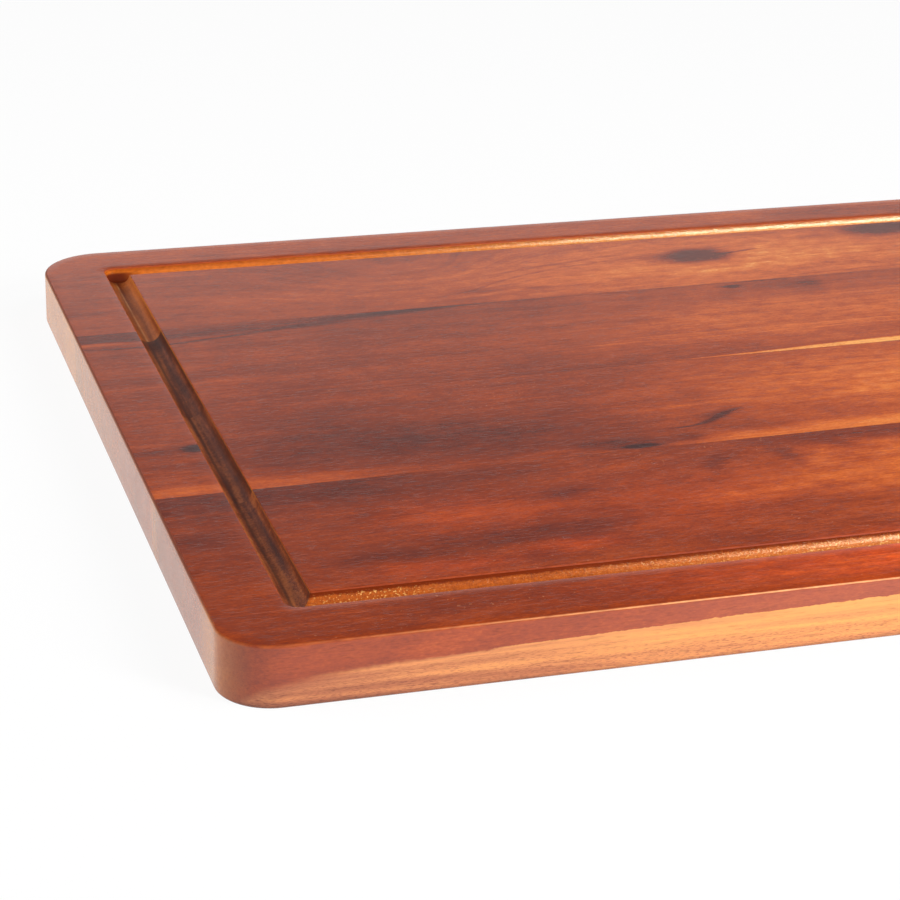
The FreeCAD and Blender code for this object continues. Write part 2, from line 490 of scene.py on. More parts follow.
def make_world():
    """A white sweep near the horizon below a dim room, and white where the camera sees it."""
    world = bpy.data.worlds.new("studio")
    world.use_nodes = True
    tree = world.node_tree
    tree.nodes.clear()
    coordinates = tree.nodes.new("ShaderNodeTexCoord")
    direction = Shade(tree, coordinates.outputs["Generated"])
    height = calculate_vector(tree, "DOT_PRODUCT", direction, WORLD_LEAN) + WORLD_LIFT
    levels = ramp(height, [(place, (level, level, level)) for place, level in WORLD_LEVELS])
    path = tree.nodes.new("ShaderNodeLightPath")
    room = make_node(tree, "ShaderNodeBackground", {"Color": levels})
    white = make_node(tree, "ShaderNodeBackground", {"Color": WHITE})
    seen = Shade(tree, path.outputs["Is Camera Ray"])
    blend_shaders(tree, "ShaderNodeOutputWorld", room, white, seen)
    bpy.context.scene.world = world


def make_stage():
    """A white floor that keeps a soft shadow, a pale world and soft studio light."""
    make_floor()
    make_world()
    for lamp in LAMPS:
        make_lamp(lamp)


# A layer of noise: its lumps' size along, across and up in millimetres, strength and detail
Layer = namedtuple("Layer", "size strength detail", defaults=(3.0,))

# Where a surface faces an end or the front, by how far its normal turns there
END_FACING = (0.45, 0.95)
FRONT_FACING = (-0.3, -0.8)

# How far the figure moves along and across for each millimetre down
GRAIN_LEAN = (1.3, 0.5)

# Waves that push the grain about: their size and how far they push, in millimetres
CALM_WAVES = ((9, 5, 5), (3, 1.5, 0))
GRAIN_WAVES = (
    ((38, 13, 13), (10, 4, 0)),
    ((45, 1.5, 4), (12, 0.5, 0)),
    ((7, 2.6, 4), (2.6, 0.8, 0)),
)

# Layers of the grain, from broad bands to grit
GRAIN_BANDS = (Layer((190, 9, 13), 0.21), Layer((80, 2.6, 5), 0.14))
HAIR_LINES = Layer((26, 1.0, 1.4), 0.15)
MOTTLES = (Layer((26, 12, 12), 0.20), Layer((8, 5, 6), 0.16))
SPECKS = (Layer((2.2, 0.5, 0.6), 0.24, 2.0), Layer((1.1, 0.35, 0.4), 0.22, 1.0))

# Unevenness of patches, knots and veins
PATCH_STREAKS = Layer((40, 1.4, 2), 0.8)
PATCH_LUMPS = Layer((7, 4, 4), 1.3)
VEIN_SWING = (16, 9, 9)
SEED_STEP = 7.3

# The most that a bent grain line, a vein's line and a vein's half width may say
BEND_REACH = 60
LINE_REACH = 300
WIDTH_REACH = 10

# A knot's halo and body, against its half lengths, with their share of its darkness
HALO_SIZE = (2.2, 2.0)
HALO_FADE = (1, 0.1)
HALO_SHARE = 0.35
BODY_SIZE = 1.25
BODY_FADE = (1, 0.35)
BODY_SHARE = 0.8


class Wood:
    """The wood of one stave in a material's node tree.

    u runs along the grain from the left end, v across it from the front left corner, and w up
    from the top face, all in millimetres. Tone goes from 0, nearly black, to 1, pale orange.
    """

    def __init__(self, tree, tone, tilt, seed):
        self.tree = tree
        self.seed = seed
        coordinates = tree.nodes.new("ShaderNodeTexCoord")
        aligned = make_node(tree, "ShaderNodeMapping", {
            "Vector": Shade(tree, coordinates.outputs["Object"]),
            "Location": (CAD_LOW.x, CAD_LOW.y, TOP),
            "Rotation": (0, 0, SKEW),
            "Scale": (MM, MM, MM)}, vector_type="TEXTURE")
        self.u, self.v, self.w = split(Shade(tree, aligned.outputs[0]))
        facing = split(Shade(tree, coordinates.outputs["Normal"]))
        self.end = rise(magnitude(facing[0]), *END_FACING)
        self.front = rise(facing[1], *FRONT_FACING)
        lean_u, lean_v = GRAIN_LEAN
        self.point = join(tree, self.u - self.w * lean_u, self.v - self.w * lean_v, 0)
        self.calm = self.warp(self.point, *CALM_WAVES)
        for size, reach in GRAIN_WAVES:
            self.point = self.warp(self.point, size, reach)
        _, across, _ = split(self.point)
        self.flow = across + self.w * tilt
        self.plain = join(tree, self.u, self.v, self.w)
        self.tone = tone
        self.red = 0.0
        self.uneven = (1 + self.layer(self.plain, PATCH_STREAKS)
                       + self.layer(self.plain, PATCH_LUMPS))

    def moved(self, vector, size):
        """A point in units of this size, moved to a place that no other noise starts from."""
        self.seed += SEED_STEP
        scale = [1 / part for part in size]
        return calculate_vector(self.tree, "MULTIPLY_ADD", vector, scale, [self.seed] * 3)

    def noise(self, vector, size, detail=3.0):
        """Centred noise, with lumps of this size in millimetres along each axis."""
        node = make_node(self.tree, "ShaderNodeTexNoise", {
            "Vector": self.moved(vector, size), "Scale": 1.0, "Detail": detail})
        return Shade(self.tree, node.outputs["Fac"]) - 0.5

    def layer(self, vector, layer, strength=1.0):
        """One layer of noise at its own strength, times this one."""
        return self.noise(vector, layer.size, layer.detail) * (layer.strength * strength)

    def warp(self, vector, size, reach):
        """Push a point about, by up to half this reach along each axis."""
        node = make_node(self.tree, "ShaderNodeTexNoise", {
            "Vector": self.moved(vector, size), "Scale": 1.0, "Detail": 2.0})
        centred = calculate_vector(self.tree, "SUBTRACT", Shade(self.tree, node.outputs["Color"]),
                                   (0.5, 0.5, 0.5))
        return calculate_vector(self.tree, "MULTIPLY_ADD", centred, reach, vector)

    def across(self):
        """Distance across the grain, with its waves."""
        return split(self.point)[1]

    def distance(self, u, v, long, wide, turn=0.0, calm=False):
        """Distance from a point, where 1 is the edge of an oval with these half lengths."""
        node = make_node(self.tree, "ShaderNodeMapping", {
            "Vector": self.calm if calm else self.point, "Location": (u, v, 0),
            "Rotation": (0, 0, math.radians(turn)), "Scale": (long, wide, 1)},
            vector_type="TEXTURE")
        return calculate_vector(self.tree, "LENGTH", Shade(self.tree, node.outputs[0]))

    def patch(self, tone, u, v, long, wide, turn=0.0, red=0.0):
        """A soft oval of darker or lighter wood."""
        mask = rise(self.distance(u, v, long, wide, turn), 1, 0) * self.uneven
        self.tone = self.tone + mask * tone
        if red:
            self.red = self.red + mask * red

    def bend(self, points, low, high):
        """Make the grain follow a line in a range of v, and straighten beyond it."""
        middle = (low + high) / 2
        shift = along_path(self.u, points, BEND_REACH) - BEND_REACH / 2
        fade = rise(magnitude(self.v - middle), (high - low) / 2, 0)
        self.flow = self.flow - shift * fade

    def part_round(self, u, v, long, wide, push):
        """Make the grain part and close again round a knot."""
        mask = rise(self.distance(u, v, long, wide), 1, 0)
        self.flow = self.flow - mask * (self.across() - v) * push

    def add_grain(self, strength, stretch=1.0):
        """Streaks along the grain, from broad bands to hair lines, and a mottled figure."""
        flowing = join(self.tree, self.u / stretch, self.flow, self.w)
        for layer in GRAIN_BANDS:
            self.tone = self.tone + self.layer(flowing, layer, strength)
        self.tone = self.tone + self.layer(flowing, HAIR_LINES)
        for layer in MOTTLES:
            self.tone = self.tone + self.layer(self.point, layer)
        for layer in SPECKS:
            self.tone = self.tone + self.layer(self.plain, layer)

    def vein(self, tone, points, widths, start, end, soft=12, core=0.1, drift=2.5):
        """A thin dark or light line through these points, between two distances along."""
        line = along_path(self.u, points, LINE_REACH)
        across = self.across() if drift else self.v
        if drift:
            line = line + self.noise(join(self.tree, self.u, 0.0, 0.0), VEIN_SWING) * drift
        thick = along_path(self.u, widths, WIDTH_REACH)
        away = magnitude(across - line)
        mask = rise(away / thick, 1, core) * between(self.u, start, end, soft)
        self.tone = self.tone + mask * tone

    def strip(self, tone, front, back, soft_sides, start, end, soft_ends):
        """A band of paler or darker wood along the grain that ends softly."""
        mask = (between(self.across(), front, back, soft_sides)
                * between(self.u, start, end, soft_ends))
        self.tone = self.tone + mask * tone

    def knot(self, u, v, long, wide, turn=0.0, dark=0.42):
        """A dark knot with a soft halo."""
        halo_long, halo_wide = HALO_SIZE
        halo = rise(self.distance(u, v, long * halo_long, wide * halo_wide, turn), *HALO_FADE)
        body = rise(self.distance(u, v, long * BODY_SIZE, wide * BODY_SIZE, turn, calm=True),
                    *BODY_FADE)
        self.tone = (self.tone - halo * self.uneven * (dark * HALO_SHARE)
                     - body * (dark * BODY_SHARE))


# Where the three glue lines run, in millimetres across the grain
GLUE_LINES = (98.4, 167.1, 237.6)

# Ends of what runs off the board on the left and on the right
OFF_LEFT = -20
OFF_RIGHT = 700


def front_stave_figure(wood):
    """Flames in the middle, rings of swirl at the right, dark wood under the glue line."""
    wood.part_round(u=165, v=75, long=48, wide=34, push=0.8)
    wood.part_round(u=185, v=78, long=34, wide=22, push=0.7)
    wood.add_grain(0.85)
    wood.patch(-0.20, u=40, v=92, long=100, wide=20)
    wood.patch(-0.15, u=98, v=49, long=48, wide=11, turn=-4)
    wood.patch(-0.12, u=58, v=44, long=30, wide=8)
    wood.patch(-0.12, u=96, v=35, long=16, wide=6)
    wood.patch(-0.12, u=8, v=66, long=16, wide=11)
    wood.patch(-0.12, u=118, v=73, long=14, wide=8, turn=20)
    wood.patch(0.11, u=86, v=66, long=46, wide=24, red=0.3)
    wood.patch(0.10, u=70, v=34, long=36, wide=9, red=0.4)
    wood.patch(0.12, u=108, v=39, long=26, wide=9, red=0.4)
    # paler towards the right: paler wood, and painted light where the lamps fall
    wood.patch(0.27, u=228, v=62, long=100, wide=46)
    wood.patch(0.18, u=246, v=80, long=44, wide=14)
    wood.patch(0.09, u=150, v=60, long=60, wide=40, red=0.25)
    wood.patch(-0.12, u=222, v=95, long=46, wide=9)
    for ray_u, ray_v, turn in ((170, 82, 52), (194, 84, 96), (214, 88, 148)):
        wood.patch(-0.13, u=ray_u, v=ray_v, long=15, wide=5, turn=turn)
    wood.patch(0.10, u=204, v=78, long=16, wide=6, turn=70)
    wood.patch(-0.12, u=190, v=48, long=60, wide=9)
    wood.patch(0.30, u=255, v=10, long=205, wide=25, red=1.0)


def front_middle_stave_figure(wood):
    """A dark blotch at the left, an orange strip and a knot by the glue line, a second knot."""
    wood.part_round(u=152, v=101, long=26, wide=14, push=0.6)
    wood.part_round(u=188, v=120, long=26, wide=14, push=0.6)
    wood.add_grain(0.8, stretch=1.3)
    wood.patch(-0.22, u=88, v=122, long=92, wide=26, turn=-5)
    wood.patch(-0.10, u=62, v=146, long=44, wide=20)
    # paler towards the right: paler wood, and painted light where the lamps fall
    wood.patch(0.30, u=260, v=138, long=130, wide=54)
    wood.strip(0.16, front=95, back=106, soft_sides=2.5, start=OFF_LEFT, end=62, soft_ends=34)
    wood.strip(0.30, front=95, back=105, soft_sides=4, start=176, end=OFF_RIGHT, soft_ends=22)
    wood.knot(u=23, v=133, long=5, wide=3)
    wood.patch(-0.16, u=8, v=133, long=16, wide=5)
    wood.knot(u=154, v=101, long=6.5, wide=1.8, dark=0.44)
    wood.patch(-0.24, u=147, v=104, long=22, wide=6)
    wood.patch(-0.20, u=170, v=103.8, long=13, wide=4.5)
    wood.vein(-0.25, points=[(160, 113), (172, 112), (180, 114), (190, 120), (198, 123.5)],
              widths=[(160, 0.6), (176, 1.0), (187, 2.6), (194, 1.4)],
              start=168, end=195, soft=4, drift=0)
    wood.patch(-0.17, u=187, v=119, long=15, wide=6, turn=28)


def back_middle_stave_figure(wood):
    """A dark vein that meets the glue line, pale lines, and sapwood along the joint in front."""
    joint = GLUE_LINES[1]
    wood.part_round(u=241, v=233, long=30, wide=12, push=0.6)
    wood.add_grain(1.0, stretch=2.2)
    # paler towards the right: paler wood, and painted light where the lamps fall
    wood.patch(0.23, u=265, v=200, long=160, wide=52)
    wood.strip(-0.18, front=229, back=250, soft_sides=1.5, start=OFF_LEFT, end=30, soft_ends=14)
    wood.strip(0.18, front=226.5, back=229, soft_sides=0.9, start=OFF_LEFT, end=22, soft_ends=12)
    wood.vein(-0.13, points=[(20, 231), (60, 233), (100, 236)],
              widths=[(20, 7), (60, 6), (100, 4)], start=28, end=125, soft=14)
    wood.vein(-0.20, points=[(0, 224), (35, 223), (70, 228), (95, 233), (120, 236.5), (160, 238)],
              widths=[(0, 1), (60, 2), (95, 4.2), (120, 5), (150, 2.4)],
              start=4, end=155, soft=20)
    wood.vein(0.08, points=[(0, 189), (180, 191), (290, 190)], widths=[(0, 1), (290, 1)],
              start=185, end=OFF_RIGHT, soft=20)
    wood.vein(0.07, points=[(0, 186), (180, 186.5), (290, 186)], widths=[(0, 1), (290, 1)],
              start=150, end=OFF_RIGHT, soft=30)
    wood.vein(0.46, points=[(0, joint), (530, joint)],
              widths=[(180, 0.9), (215, 1.6), (235, 2.7), (250, 3.8), (276, 4.8), (400, 6)],
              start=205, end=OFF_RIGHT, soft=32, core=0.6, drift=0)
    wood.knot(u=241.5, v=233, long=4, wide=1.6, dark=0.29)
    wood.vein(-0.16, points=[(230, 236.4), (280, 236.6)], widths=[(230, 1.0), (280, 0.7)],
              start=246, end=264, soft=6)
    wood.patch(-0.12, u=262, v=230, long=30, wide=9, turn=-8)
    wood.patch(-0.14, u=272, v=231, long=9, wide=7, turn=60)


def back_stave_figure(wood):
    """Cathedral grain, one large soft knot and a second at the groove."""
    wood.bend([(0, 34), (40, 34), (100, 14), (130, 2), (160, 14), (200, 30), (260, 34)], 228, 318)
    wood.part_round(u=240, v=268, long=50, wide=30, push=0.75)
    wood.part_round(u=326, v=284, long=50, wide=26, push=0.7)
    wood.add_grain(1.0, stretch=1.2)
    # paler towards the right: paler wood, and painted light where the lamps fall
    wood.patch(0.34, u=262, v=262, long=190, wide=58)
    wood.strip(0.07, front=306, back=340, soft_sides=6, start=OFF_LEFT, end=OFF_RIGHT, soft_ends=12)
    wood.patch(0.07, u=90, v=260, long=100, wide=26)
    wood.knot(u=243, v=268.8, long=14, wide=8, turn=3, dark=0.50)
    wood.patch(-0.14, u=222, v=270, long=20, wide=7)
    wood.vein(-0.30, points=[(250, 269), (274, 271.5)], widths=[(250, 1.6), (270, 0.8)],
              start=252, end=268, soft=4)
    wood.vein(-0.13, points=[(250, 239.8), (340, 241.4)], widths=[(250, 0.6), (340, 0.8)],
              start=266, end=420, soft=10)
    wood.knot(u=326, v=284, long=16, wide=8, dark=0.40)
    for points in (((139, 248.5), (172, 262), (205, 270)), ((158, 265), (192, 273), (224, 278))):
        wood.vein(-0.10, points=points, widths=[(140, 1.2), (220, 1.8)],
                  start=points[0][0], end=points[-1][0])
    wood.patch(-0.16, u=152, v=250, long=18, wide=4)
    wood.patch(-0.20, u=173, v=248.5, long=9, wide=2.6)
    wood.patch(-0.12, u=310, v=311, long=26, wide=8)


# Each stave's figure, its plain tone, how much its grain tilts with depth, and its seed
Stave = namedtuple("Stave", "figure tone tilt seed")
FIGURES = {
    "front_stave": Stave(front_stave_figure, 0.44, 0.9, 3),
    "front_middle_stave": Stave(front_middle_stave_figure, 0.47, 0.6, 41),
    "back_middle_stave": Stave(back_middle_stave_figure, 0.47, 1.2, 83),
    "back_stave": Stave(back_stave_figure, 0.50, 0.8, 127),
}

# The wood's colours by tone
WOOD_SCALE = (
    (0.00, (0.052, 0.014, 0.013)),
    (0.14, (0.086, 0.017, 0.012)),
    (0.30, (0.145, 0.023, 0.011)),
    (0.45, (0.240, 0.034, 0.008)),
    (0.60, (0.390, 0.060, 0.009)),
    (0.76, (0.600, 0.118, 0.015)),
    (0.90, (0.740, 0.200, 0.032)),
    (1.00, (0.920, 0.400, 0.095)),
)
RED_SHIFT = (1.25, 0.80, 0.82)
FRONT_COLOUR = (0.31, 0.098, 0.075)
FRONT_LIFT = 0.08
FRONT_COVER = 0.2
FRONT_COVER_RISE = (40, 200)
FRONT_COVER_GAIN = 0.3

# Sapwood on the front edge: its border's height along the edge, its ragged line and its streaks
SAPWOOD_BORDER = ((0, 4), (15, 6.5), (40, 9), (60, 9.8), (100, 11.2), (150, 12.3), (190, 13),
                  (530, 13.4))
BORDER_REACH = 20
BORDER_WAVES = Layer((26, 1.4, 3), 1.2, 2.0)
BORDER_SCALLOPS = Layer((2.0, 1.2, 3), 0.9, 2.0)
BORDER_SLOPE = 0.9
BORDER_SOFTNESS = 0.16
BORDER_LEFT_END = (90, 5)
LEFT_END_SOFTNESS = 1.5
SAPWOOD_TONE = 0.48
SAPWOOD_STREAKS = Layer((60, 1.6, 3), 0.7)
SAPWOOD_RISE = (0, 150)
SAPWOOD_GAIN = 0.26
DASH_SIZE = (1.5, 0.18, 1)
DASH_EDGE = (0.0, 0.16)
DASH_DARKNESS = 0.03
LOW_DASHES = (12, 3)
LOW_DASH_DARKNESS = 0.22
LOW_FALL = (8, 1)
LOW_DARKNESS = 0.13
BOTTOM_LINE = (1.4, 0.4)
BOTTOM_DARKNESS = 0.35
SAPWOOD_SCALE = (
    (0.05, (0.20, 0.055, 0.030)),
    (0.40, (0.44, 0.140, 0.060)),
    (0.62, (0.68, 0.260, 0.090)),
    (0.90, (0.86, 0.380, 0.100)),
)

# End faces: cut end grain, pale towards the back and in three bands
END_COLOUR = (0.40, 0.130, 0.045)
PALE_END = (0.68, 0.28, 0.055)
PALE_END_RISE = (100, 330)
PALE_BANDS = ((12, 28, 8), (94, 100, 5), (240, 256, 10))
PALE_BAND_GAIN = 0.6
END_STREAKS = Layer((30, 1.2, 1.2), 0.6)
END_CLOUDS = Layer((30, 9, 6), 0.5)
END_COVER = 0.7

# The groove's legs along the grain
GROOVE_SHADOW = (0.19, 0.024, 0.004)
# the legs are lighter towards the right: new-cut wood, and painted light where the lamp falls
BACK_LEG_LEFT = (0.70, 0.17, 0.016)
BACK_LEG_RIGHT = (0.84, 0.27, 0.035)
FRONT_LEG_LEFT = (0.58, 0.125, 0.012)
FRONT_LEG_RIGHT = (0.64, 0.160, 0.020)
# pale specks: ripped fibre ends, and painted glints towards the right
TORN_FIBRE_AND_GLINT = (0.88, 0.46, 0.13)
# painted shade in the back left corner of the groove
GROOVE_CORNER_SHADE = (0.13, 0.020, 0.007)
SPECK_SIZE = (0.8, 0.5, 0.5)
SPECK_EDGE = (0.05, 0.20)
GROOVE_GRIT = (0.45, 0.35, 0.35)
GROOVE_FIBRES = Layer((0.5, 3, 1.2), 0.9)
GROOVE_CLOUDS = Layer((1.6, 1, 1), 0.9, 2.0)
IN_FRONT_LEG = (160, 120)
BACK_LEG_RISE = (100, 230)
FRONT_LEG_RISE = (90, 220)
FRESH_SHARE = 0.90
CHIPPED_RUN = (30, 60, 14)
FEW_CHIPS_RISE = (60, 150)
FEW_CHIPS = 0.35
GLINT_RISE = (120, 190)
TORN_AND_GLINT_SHARE = 0.6
GRIT = 0.8
FRONT_LEG_LEFT_SHADE_RISE = (170, 90)
FRONT_LEG_LEFT_SHADE = 0.34
SHADOW = 0.35
FRONT_SHADOW = 0.65
SHADOW_RISE = (-1.9, -0.7)
CORNER_SHADE_END = (44, 34)
CORNER_SHADE_DEPTH = (-1.0, -2.2)

# The groove's legs across the grain
LEG_SWAY = Layer((9, 26, 9), 2.2, 2.0)
LEG_STREAKS = Layer((1.7, 46, 3), 1.6, 1.5)
LEG_BANDS = (40, 4, 20)
LEG_GRIT = Layer((0.6, 0.6, 0.6), 0.9, 1.0)
BACK_LEG_SCALE = ((0.1, (0.19, 0.038, 0.010)), (0.9, (0.50, 0.140, 0.026)))
LEG_SCALE = (
    (0.1, (0.065, 0.015, 0.008)),
    (0.5, (0.190, 0.044, 0.016)),
    (0.9, (0.420, 0.125, 0.036)),
)
LEG_TONE = 0.52
LEG_BANDING = 0.5
LEG_MIDDLE = GROOVE_INSET / MM
LEFT_WALL = (LEG_MIDDLE - 1.6, LEG_MIDDLE - 3.0)
LEFT_WALL_GAIN = 0.18
RIGHT_WALL = (LEG_MIDDLE + 0.8, LEG_MIDDLE + 2.8)
RIGHT_WALL_DARKNESS = 0.22
BY_LAST_JOINT = (222, 234)
JOINT_DARKNESS = 0.3
# a painted highlight line along the floor of the back stave's leg
PAINTED_LEG_HIGHLIGHT = (0.62, 0.32, 0.14)
PAINTED_LEG_HIGHLIGHT_PLACE = LEG_MIDDLE - 0.4
PAINTED_LEG_HIGHLIGHT_EDGE = (0.40, 0.15)
PAINTED_LEG_HIGHLIGHT_COVER = 0.5
PAINTED_LEG_HIGHLIGHT_BANDING = 1.6
DARK_MARK = (0.045, 0.012, 0.010)
DARK_MARK_LINE = LEG_MIDDLE - 0.6
DARK_MARK_SWAY = 0.5
DARK_MARK_EDGE = (0.9, 0.1)
DARK_MARK_COVER = 0.7
BACK_CORNER_SHADE = (297, 301)

# Edges, with painted highlights on the lips and the front rim, and what lies on the faces
SANDED_LIP_AND_HIGHLIGHT = (0.42, 0.075, 0.016)
RIM_WEAR_AND_HIGHLIGHT = (0.62, 0.17, 0.035)
RIM_HIGHLIGHT_LINE = (0.86, 0.40, 0.17)
BACK_RIM = (0.17, 0.032, 0.008)
WEAR_AND_HIGHLIGHT_NOISE = Layer((4, 4, 4), 2.2)
WORN_AND_HIGHLIGHT_SHARE = 0.40
RIM_WEAR_AND_HIGHLIGHT_COVER = 0.3
RIM_HIGHLIGHT_RISE = (0, 160)
RIM_HIGHLIGHT_COVER = 0.55
RIM_HIGHLIGHT_UNEVENNESS = 0.5
BACK_RIM_COVER = 0.7
MIDDLE_OF_MARK = (0.7, 0.95)
NEAR_FRONT = (60, 10)
BEHIND_FRONT = (10, 60)
NIB_COLOUR = (0.60, 0.26, 0.12)
NIB_SIZE = (0.8, 0.8, 0.8)
NIB_EDGE = (0.30, 0.36)
NIB_COVER = 0.35
NIB_FIELDS = (60, 40, 40)
FIELD_EDGE = (-0.06, 0.12)
PORE_SIZE = (5, 0.5, 0.5)
PORE_EDGE = (0.08, 0.20)
PORE_DARKNESS = 0.16
PORE_DEPTH = 0.2
GLUE_EDGE = (0.22, 0.05)
GLUE_DARKNESS = 0.30

# The lacquer's roughness and gloss, and what the edges, the ends and the short legs change
LACQUER_ROUGHNESS = 0.21
ROUGH_SPOTS = Layer((12, 8, 8), 0.08, 1.0)
LIP_ROUGHNESS = 0.35
RIM_ROUGHNESS = 0.2
SHORT_LEG_ROUGHNESS = 0.24
LACQUER_SHINE = 0.5
LIP_DULLNESS = 0.45
RIM_DULLNESS = 0.35
RIM_DULL_RISE = (0, 20)
END_DULLNESS = 0.06
END_DULL_FALL = (200, 40)
SHORT_LEG_SHINE = 0.25

# Gloss of the legs along the grain: tint, index of refraction and extra roughness
Gloss = namedtuple("Gloss", "tint index rough")
BACK_LEG_GLOSS = Gloss((1.0, 0.93, 0.68, 1), 2.3, 0.0)
FRONT_LEG_GLOSS = Gloss((1.0, 0.85, 0.58, 1), 2.0, 0.03)
FULL_SHINE = 1.0
LEFT_FADE = (210, 70)
LEFT_DULLNESS = 0.5
CORNER_FADE = (46, 36)
CORNER_DULLNESS = 0.46

# Relief under the lacquer; the back leg is smoother at its left end
RIPPLE = Layer((3, 1.6, 1.6), 0.35, 2.0)
RELIEF_DEPTH = 0.12 * MM
RELIEF_STRENGTH = 0.6
COARSE_SIZE = (0.8, 0.6, 0.6)
COARSE = 1.2
BACK_COARSE = 0.6
BACK_COARSE_RISE = (150, 230)
BACK_COARSE_GAIN = 1.1


def sapwood_edge(wood, colour):
    """Pale sapwood with brown dashes along the lower part of the front edge."""
    upright = join(wood.tree, wood.u, wood.w, wood.v)
    border = along_path(wood.u, SAPWOOD_BORDER, BORDER_REACH)
    ragged = wood.layer(upright, BORDER_WAVES)
    scallop = wood.layer(upright, BORDER_SCALLOPS)
    height = wood.w + THICKNESS / MM
    inward = wood.v + wood.u * math.tan(SKEW)
    soft = BORDER_SOFTNESS + rise(wood.u, *BORDER_LEFT_END) * LEFT_END_SOFTNESS
    mask = rise((border - height - inward * BORDER_SLOPE + ragged + scallop) / soft, -1, 1)
    streak = wood.layer(upright, SAPWOOD_STREAKS)
    dash = rise(wood.noise(upright, DASH_SIZE, detail=2.0), *DASH_EDGE)
    level = (SAPWOOD_TONE + streak + rise(wood.u, *SAPWOOD_RISE) * SAPWOOD_GAIN
             - dash * (rise(height, *LOW_DASHES) * LOW_DASH_DARKNESS + DASH_DARKNESS)
             - rise(height, *LOW_FALL) * LOW_DARKNESS)
    colour = mix(colour, ramp(level, SAPWOOD_SCALE), mask)
    bottom = wood.front * rise(height, *BOTTOM_LINE)
    return shade_by(colour, 1 - bottom * BOTTOM_DARKNESS)


def long_groove_look(wood):
    """The cutter's new-cut gold in the legs along the grain, lighter towards the right as painted
    light, with pale specks and chips that are partly painted glints, a painted shadow below the
    lips and painted shade in the back corner.
    """
    front = rise(wood.v, *IN_FRONT_LEG)
    speck = rise(wood.noise(wood.plain, SPECK_SIZE, detail=2.0), *SPECK_EDGE)
    chips = between(wood.u, *CHIPPED_RUN) + rise(wood.u, *FEW_CHIPS_RISE) * FEW_CHIPS
    grit = wood.noise(wood.plain, GROOVE_GRIT, detail=1.0) * front * GRIT
    torn_and_glints = chips * front + rise(wood.u, *GLINT_RISE) * TORN_AND_GLINT_SHARE
    shadow = rise(wood.w, *SHADOW_RISE) * (front * FRONT_SHADOW + SHADOW)
    # the front leg is darker at its left by painted shade, added to its fibre streaks
    fibres_and_left_shade = wood.layer(wood.plain, GROOVE_FIBRES) - rise(wood.u, *FRONT_LEG_LEFT_SHADE_RISE) * FRONT_LEG_LEFT_SHADE
    texture = wood.layer(wood.plain, GROOVE_CLOUDS)
    # painted light: both legs lighter towards the right
    back_leg = mix(BACK_LEG_LEFT, BACK_LEG_RIGHT, rise(wood.u, *BACK_LEG_RISE))
    front_leg = mix(FRONT_LEG_LEFT, FRONT_LEG_RIGHT, rise(wood.u, *FRONT_LEG_RISE))
    fresh_gold_and_light = mix(back_leg, front_leg, front)
    gold = mix(GROOVE_SHADOW, fresh_gold_and_light,
               FRESH_SHARE + texture + grit * (1 - shadow) + fibres_and_left_shade * front - shadow)
    # pale specks of ripped fibre ends near the corner, and painted glints towards the right
    gold = mix(gold, TORN_FIBRE_AND_GLINT, speck * torn_and_glints * (1 - shadow))
    # painted shade low in the back leg's left corner
    painted_corner_shade = rise(wood.u, *CORNER_SHADE_END) * rise(wood.w, *CORNER_SHADE_DEPTH) * (1 - front)
    return mix(gold, GROOVE_CORNER_SHADE, painted_corner_shade)


def end_face_look(wood, colour):
    """Cut end grain under lacquer, paler towards the back and in a few warm bands."""
    grains = wood.layer(wood.plain, END_STREAKS)
    pale = rise(wood.v, *PALE_END_RISE)
    for low, high, soft in PALE_BANDS:
        pale = pale + between(wood.v, low, high, soft) * PALE_BAND_GAIN
    pale = pale + wood.layer(wood.plain, END_CLOUDS)
    end = mix(END_COLOUR, PALE_END, pale)
    return mix(colour, end, wood.end * (END_COVER + grains))


def end_groove_look(wood, stave):
    """Dark cut end grain in the legs across the grain, streaked along the leg; the back stave's leg
    has a painted highlight line and painted shade in its back corner.
    """
    along = wood.u - wood.v * math.tan(SKEW)
    sway = wood.layer(join(wood.tree, 0.0, wood.v, 0.0), LEG_SWAY)
    place = join(wood.tree, along + sway, wood.v, wood.w)
    streaks = wood.layer(place, LEG_STREAKS)
    bands = wood.noise(wood.plain, LEG_BANDS, detail=2.0)
    grit = wood.layer(wood.plain, LEG_GRIT)
    level = LEG_TONE + streaks + bands * LEG_BANDING + grit
    if stave == BACK_STAVE:
        gold = ramp(level, BACK_LEG_SCALE)
        # painted highlight line along the leg's floor
        mark = rise(magnitude(along - PAINTED_LEG_HIGHLIGHT_PLACE), *PAINTED_LEG_HIGHLIGHT_EDGE)
        gold = mix(gold, PAINTED_LEG_HIGHLIGHT, mark * (PAINTED_LEG_HIGHLIGHT_COVER + bands * PAINTED_LEG_HIGHLIGHT_BANDING))
        # painted shade in the leg's back corner
        return mix(gold, GROOVE_CORNER_SHADE, rise(wood.v, *BACK_CORNER_SHADE))
    wall = (rise(along, *LEFT_WALL) * LEFT_WALL_GAIN
            - rise(along, *RIGHT_WALL) * RIGHT_WALL_DARKNESS
            - rise(wood.v, *BY_LAST_JOINT) * JOINT_DARKNESS)
    mark = rise(magnitude(along + sway * DARK_MARK_SWAY - DARK_MARK_LINE), *DARK_MARK_EDGE)
    return mix(ramp(level + wall, LEG_SCALE), DARK_MARK, mark * DARK_MARK_COVER)


def read_mark(tree, name, low=0.0, high=0.6):
    """How close to the middle of one kind of eased edge a point is."""
    node = make_node(tree, "ShaderNodeAttribute", {}, attribute_name=name)
    return rise(Shade(tree, node.outputs["Fac"]), low, high)


